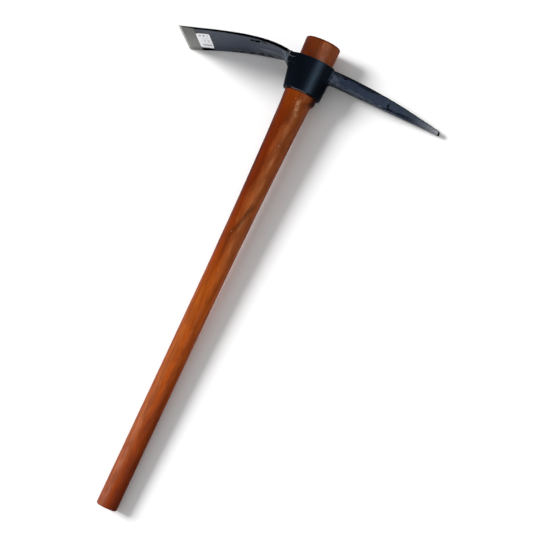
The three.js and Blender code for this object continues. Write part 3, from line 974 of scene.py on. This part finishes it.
rim = np.concatenate([grid[0], grid[1:, -1], grid[-1, -2::-1], grid[-2:0:-1, 0]])
walls = np.stack([rim, rim + size, np.roll(rim, -1) + size, np.roll(rim, -1)], axis=1)
sheet_faces = [*quads.tolist(), *(quads[:, ::-1] + size).tolist(), *walls.tolist()]
label = closed_shape("paper_label", points + under, sheet_faces)
sheet_map = label.data.uv_layers.new(name="paper")
for loop in label.data.loops:
    sheet_map.data[loop.index].uv = sheet_uv[loop.vertex_index % size]
print("label", len(label.data.vertices), "points")

# %% The label's material
bars = [(0.66, 0.84, 0.79, 0.91, 0.75), (0.36, 0.56, 0.79, 0.91, 0.75), (0.16, 0.27, 0.79, 0.90, 0.6),
        (0.20, 0.74, 0.62, 0.69, 0.3), (0.16, 0.34, 0.38, 0.58, 0.4), (0.46, 0.58, 0.38, 0.58, 0.5),
        (0.70, 0.80, 0.42, 0.54, 0.3), (0.18, 0.78, 0.29, 0.33, 0.25), (0.12, 0.78, 0.15, 0.23, 0.85)]
paper = surface("coated_paper", Roughness=0.3, Specular_IOR_Level=0.9)
spot = split(add(paper.node_tree, "ShaderNodeUVMap", uv_map="paper"))


def stripe(value, low, high, soft):
    """One between low and high, with soft ends inside them."""
    return fade(value, low, low + soft) * fade(value, high, high - soft)


ink = largest(*[stripe(spot["X"], left, right, 0.02) * stripe(spot["Y"], low, high, 0.006) * strength
                for left, right, low, high, strength in bars])
fibre = grain(on_piece(paper), 2500, 2)
sheet_colour = ramp(fibre, (0.35, (0.90, 0.91, 0.95)), (0.65, (0.94, 0.95, 0.99)))
dress(paper, Base_Color=blend(ink, sheet_colour, (0.06, 0.06, 0.07)), Normal=bump(fibre, 0.02 * mm))
label.data.materials.append(paper)
settled(label, "head", ["label"])
print("bars", len(bars))

# %% [markdown]
# ## The handle
# The handle is one long rule: an oval that grows with the fourth power of its height, so that it
# is nearly straight in the hand and flares below the eye. Above its shoulder it swells into the
# taper of the eye. A rule like this suits Geometry Nodes. A cylinder's points are moved to where
# the rule says, and every size is a named input. Rings lie closer together at both ends, so that
# the rounded rims come out smooth.

# %% The handle's node tree
handle_sizes = {
    "Length": handle_length, "Grip width": 38 * mm, "Grip depth": 29 * mm, "Flare width": 54.4 * mm,
    "Flare depth": 44.4 * mm, "Flare power": 4.0, "Butt round": 4 * mm, "Crown round": 3.5 * mm,
    "Shoulder foot": eye_mouth - 17 * mm, "Shoulder rise": 8 * mm, "Fit gap": 0.3 * mm, "Eye offset": eye_offset,
    "Eye lean": eye_lean, "Mouth height": eye_mouth, "Eye height": eye_height, "Mouth width": mouth_width,
    "Mouth depth": mouth_depth, "Top width": top_width, "Top depth": top_depth, "Unevenness": 0.35 * mm,
}
rule = bpy.data.node_groups.new("handle_rule", "GeometryNodeTree")
rule.is_modifier = True
for kind, names in (("Float", handle_sizes), ("Int", ("Sides", "Rings")), ("Material", ("Wood", "End grain"))):
    for name in names:
        rule.interface.new_socket(name=name, in_out="INPUT", socket_type="NodeSocket" + kind)
rule.interface.new_socket(name="Handle", in_out="OUTPUT", socket_type="NodeSocketGeometry")
given = add(rule, "NodeGroupInput")
blank = {"Vertices": given["Sides"], "Side Segments": given["Rings"], "Fill Segments": 6, "Radius": 1.0, "Depth": 1.0}
piece = add(rule, "GeometryNodeMeshCylinder", blank, "Mesh", fill_type="TRIANGLE_FAN")
spot = split(add(rule, "GeometryNodeInputPosition"))
height = given["Length"] * scaled(calc("COSINE", (spot["Z"] + 0.5) * math.pi), -0.5, 0.5)
print("inputs", len(rule.interface.items_tree) - 1)

# %% [markdown]
# ### The rule of the handle, node by node
# The flare is a share from zero to one. The swell is a quarter of a sine over the shoulder. Width
# and depth follow the same steps, so one function writes both. The end rounding is a circle's
# height at each distance from an end. Before the points move, two numbers are kept on each for the
# wood's colours: how far up the handle it is, and how far to one side.

# %% Width, depth and rounded ends
flare = calc("MINIMUM", height / given["Shoulder foot"], 1.0) ** given["Flare power"]
climb = calc("DIVIDE", height - given["Shoulder foot"], given["Shoulder rise"], clamp=True)
swell = calc("SINE", climb * (math.pi / 2))
in_eye = (height - given["Mouth height"]) / given["Eye height"]


def end_round(distance, radius):
    """How far the surface draws in near an end: the radius at the end, and nothing past it."""
    left = largest(radius - distance, 0.0)
    return radius - calc("SQRT", largest(radius * radius - left * left, 0.0))


rounding = end_round(height, given["Butt round"]) + end_round(given["Length"] - height, given["Crown round"])
stretched = add(rule, "ShaderNodeCombineXYZ", {0: spot["X"] * 0.7, 1: height * 9.0, 2: spot["Y"] * 0.7})
uneven = add(rule, "ShaderNodeTexNoise", {"Vector": stretched, "Scale": 1.0, "Detail": 2.0})
inset = rounding + largest(uneven - 0.4, 0.0) * given["Unevenness"]


def half_size(way):
    """Half of the width or of the depth at this height, drawn in at the ends."""
    free = mixed_by(flare, given["Grip " + way], given["Flare " + way])
    tight = mixed_by(in_eye, given["Mouth " + way], given["Top " + way]) - given["Fit gap"] * 2.0
    return mixed_by(swell, free, tight) * 0.5 - inset


middle = given["Eye offset"] - in_eye * given["Eye lean"]
sideways, depthwise = spot["X"] * half_size("width") + swell * middle, spot["Y"] * -1.0 * half_size("depth")
for name, value in (("up_the_handle", height), ("across_handle", spot["X"])):
    inputs = {"Geometry": piece, "Name": name, "Value": value}
    piece = add(rule, "GeometryNodeStoreNamedAttribute", inputs, data_type="FLOAT", domain="POINT")
target = add(rule, "ShaderNodeCombineXYZ", {0: sideways, 1: height, 2: depthwise})
piece = add(rule, "GeometryNodeSetPosition", {"Geometry": piece, "Position": target})
print("nodes", len(rule.nodes))

# %% [markdown]
# ### Materials of the handle
# The wood is stained red-brown under a satin varnish. Its tones are partly stain and partly painted
# light: orange in the grip, dark red on the adze's side below the eye, and browner on the pick's
# side. The darker adze's side near the head and the darker crown are painted shade. Those tones are
# set by two numbers that the rule keeps on every point, and soft noise lets them wander. Both long
# edges carry painted shade and sheen, and the rim of the crown carries painted shade. The grain runs
# along the handle as fine streaks, growth rings and short dark pores. One dark slanting streak is
# left of a knot. Pale painted glints lie on the upper half, and a pale painted highlight lies below
# the eye. A dark ring of painted shade sits where the wood meets the eye, and the pick's side just
# below the eye is darker. The two ends show the rings as arcs. The mapping turns the pattern along
# the handle's own axis, which leans up by about one degree.

# %% Tones of the stain, with painted shade
axis = place.to_3x3() @ Vector((0, 1, 0))
lean = (-math.atan2(axis.z, axis.y), 0, 0)
wood = surface("red_brown_varnish")
where, up_handle, across_share = on_piece(wood), stored(wood, "up_the_handle"), stored(wood, "across_handle")
along = up_handle / handle_length


def wood_grain(detail, rough, across_axis, along_axis):
    """Noise along the handle's own axis, with how fine it is across that axis and along it."""
    return grain(where, 1, detail, rough, (across_axis, along_axis, across_axis), lean)


wander = along + scaled(wood_grain(2, 0.5, 30, 5), 0.14, -0.07)
# The tones along the handle are partly stain and partly painted shade: the adze's side near the head and the crown are
# darker.
adze_tone = ramp(wander, (0.0, (0.28, 0.066, 0.020)), (0.25, (0.37, 0.088, 0.015)), (0.44, (0.35, 0.072, 0.005)),
                 (0.52, (0.23, 0.034, 0.001)), (0.66, (0.128, 0.014, 0.0005)), (0.84, (0.130, 0.017, 0.0008)),
                 (0.895, (0.235, 0.043, 0.0022)), (0.96, (0.070, 0.011, 0.001)), (1.0, (0.115, 0.022, 0.003)))
pick_tone = ramp(wander, (0.0, (0.21, 0.024, 0.001)), (0.12, (0.38, 0.058, 0.002)), (0.25, (0.46, 0.077, 0.004)),
                 (0.45, (0.54, 0.098, 0.002)), (0.56, (0.42, 0.100, 0.020)), (0.90, (0.29, 0.066, 0.013)),
                 (1.0, (0.31, 0.068, 0.011)))
side = across_share + scaled(wood_grain(3, 0.5, 40, 9), 1.4, -0.7) - fade(along, 0.78, 0.88, 0.22)
colour = blend(fade(side, -0.35, 0.25), adze_tone, pick_tone)
# Painted sheen and shade on the left edge: greyish in the middle of the handle, dark higher up.
left_edge_sheen_and_shade = ramp(along, (0.5, (0.18, 0.062, 0.042)), (0.68, (0.03, 0.012, 0.0145)))
colour = blend(fade(across_share, -0.55, -0.88, 0.6), colour, left_edge_sheen_and_shade)
# Painted sheen: a greyer, paler tone on the right edge from the middle of the handle up.
colour = blend(fade(across_share, 0.66, 0.92) * fade(along, 0.25, 0.38, 0.45), colour, (0.25, 0.088, 0.054))
# Painted shade: the right edge of the lower handle, the left side of the crown and the crown's rim.
right_edge_shade = fade(across_share, 0.5, 0.95) * fade(along, 0.45, 0.15, 0.65)
crown_side_shade = fade(across_share, -0.35, -0.9) * fade(along, 0.93, 0.95, 0.65)
crown_side_shade *= fade(along, 0.972, 0.992, 0.15, start=1.0)
crown_rim_shade = fade(along, 0.9955, 0.9985, 0.75)
colour = blend(largest(right_edge_shade, crown_side_shade, crown_rim_shade), colour, (0.04, 0.004, 0.001))
print("the grain leans by", round(math.degrees(lean[0]), 2), "degrees")

# %% Grain, knot, painted glints and shade
streaks, mottle = wood_grain(5, 0.62, 230, 9), wood_grain(4, 0.6, 95, 26)
pores, flecks = wood_grain(2, 0.5, 1100, 60), wood_grain(1, 0.5, 420, 190)


def growth_rings(where, distortion, detail):
    """Growth rings round a pith that lies outside the handle."""
    inputs = {"Vector": where, "Rotation": lean, "Location": (0.034, 0, 0.055), "Scale": (1, 0.12, 1)}
    inputs = {"Vector": add(where.tree, "ShaderNodeMapping", inputs), "Scale": 62.0, "Distortion": distortion,
              "Detail": detail, "Detail Scale": 0.7}
    return add(where.tree, "ShaderNodeTexWave", inputs, "Fac", wave_type="RINGS", rings_direction="Y")


colour = blend(fade(mottle, 0.40, 0.66, 0.55), colour, blend(1.0, colour, (0.58, 0.50, 0.5), "MULTIPLY"))
knot_start, knot_end, knot_side, knot_slope = 0.51, 0.64, -0.80, 10.0
knot_line = largest(scaled(along - knot_start, knot_slope, knot_side), -0.18)
off_knot = abs(scaled(mottle, 0.5, across_share) - (knot_line + 0.25))
knot_ends = fade(along, knot_start - 0.02, knot_start + 0.07) * fade(along, knot_end + 0.015, knot_end - 0.015)
# Painted glints: pale flecks on the upper half of the handle.
glint_zone = fade(across_share, -0.45, -0.1) * fade(along, 0.45, 0.55, start=0.15)
to_mouth = eye_mouth - up_handle
# A painted highlight: a pale patch below the eye.
off_mouth_glint = abs(across_share - scaled(to_mouth, 0.14 / (25 * mm), 0.18))
mouth_glint_length = fade(to_mouth, 54 * mm, 38 * mm) * fade(to_mouth, 12 * mm, 22 * mm)
mouth_glint = fade(off_mouth_glint, 0.19, 0.07) * mouth_glint_length * fade(flecks, 0.38, 0.6, 0.65, start=0.15)
# Painted shade in the gap where the wood meets the eye, and a darker patch on the pick's side just below the eye.
gap_shade = fade(to_mouth, 2.2 * mm, 0.8 * mm)
side_darkening = fade(to_mouth, 24 * mm, 11 * mm) * fade(across_share, 0.66, 0.90)
for share, tone in (
    (fade(streaks, 0.45, 0.65, 0.22), (0.15, 0.018, 0.002)),
    (fade(growth_rings(where, 5.5, 3.0), 0.6, 1.0, 0.28), (0.13, 0.018, 0.003)),
    (fade(pores, 0.6, 0.72, 0.45), (0.06, 0.009, 0.003)),
    (fade(off_knot, 0.29, 0.05, 0.75) * knot_ends, (0.10, 0.014, 0.001)),
    (fade(flecks, 0.72, 0.78, 0.5) * glint_zone, (0.70, 0.42, 0.27)),
    (mouth_glint, (0.52, 0.24, 0.12)),
    (largest(gap_shade, side_darkening) * fade(to_mouth, -1 * mm, 0.0, 0.94), (0.010, 0.002, 0.003)),
):
    colour = blend(share, colour, tone)
print("the knot is", round((knot_end - knot_start) * handle_length / mm), "mm long")

# %% [markdown]
# ### Varnish and end grain
# The varnish is glossy in patches and loses its shine on the rim of the crown. Its gloss turns warm
# from the middle of the handle up to the eye. The ends are cut across the grain, so they are
# duller and dotted.

# %% Varnish and end grain
sheen = ramp(along, (0.12, (1.0, 0.95, 0.95)), (0.42, (1.0, 0.72, 0.42)), (0.68, (0.9, 0.65, 0.38)),
             (0.80, (0.65, 0.43, 0.26)), (0.93, (0.65, 0.43, 0.26)), (0.96, (1.0, 0.95, 0.86)))
grooves = bump(streaks - pores * 0.4, 0.25 * mm)
dress(wood, Base_Color=colour, Roughness=fade(mottle, 0.35, 0.6, 0.56, start=0.35), Specular_Tint=sheen,
      Specular_IOR_Level=fade(along, 0.9945, 0.9965, 0.0, start=0.034),
      Normal=bump(wood_grain(3, 0.5, 150, 45), 0.6 * mm, Normal=grooves))
ends = surface("end_grain", Specular_IOR_Level=0.35)
where = on_piece(ends)
rings, dots = growth_rings(where, 1.6, 2.0), grain(where, 1500, 2)
colour = ramp(rings, (0.2, (0.27, 0.055, 0.018)), (0.9, (0.12, 0.020, 0.008)))
dress(ends, Base_Color=blend(fade(dots, 0.55, 0.68, 0.6), colour, (0.06, 0.012, 0.005)),
      Roughness=scaled(rings, 0.1, 0.5), Normal=bump(dots, 0.1 * mm))
print("materials", wood.name, ends.name)

# %% [markdown]
# ### From the rule to a plain mesh
# The tree ends by setting both materials and realizing its result. The modifier's inputs are set
# by each socket's identifier. The evaluated shape is then copied to a plain mesh, and the modifier
# goes, because the export and the poses need a plain mesh.

# %% Build the handle
facing = abs(split(add(rule, "GeometryNodeInputNormal"))["Y"])
at_end = add(rule, "FunctionNodeCompare", {0: facing, 1: 0.97}, operation="GREATER_THAN", data_type="FLOAT")
piece = add(rule, "GeometryNodeSetMaterial", {"Geometry": piece, "Material": given["Wood"]})
piece = add(rule, "GeometryNodeSetMaterial", {"Geometry": piece, "Selection": at_end, "Material": given["End grain"]})
add(rule, "NodeGroupOutput", {"Handle": add(rule, "GeometryNodeRealizeInstances", {"Geometry": piece})})
handle = in_scene("wooden_handle", bpy.data.meshes.new("wooden_handle"))
step = handle.modifiers.new("rule", "NODES")
step.node_group = rule
values = {**handle_sizes, "Sides": 112, "Rings": 260, "Wood": wood, "End grain": ends}
for item in rule.interface.items_tree:
    if item.item_type == "SOCKET" and item.in_out == "INPUT":
        step[item.identifier] = values[item.name]
made_plain(handle)
handle.data.materials.pop(index=0)
settled(handle, "handle", ["handle"], smooth_angle=None)
print("handle", len(handle.data.vertices), "points, materials", [m.name for m in handle.data.materials])
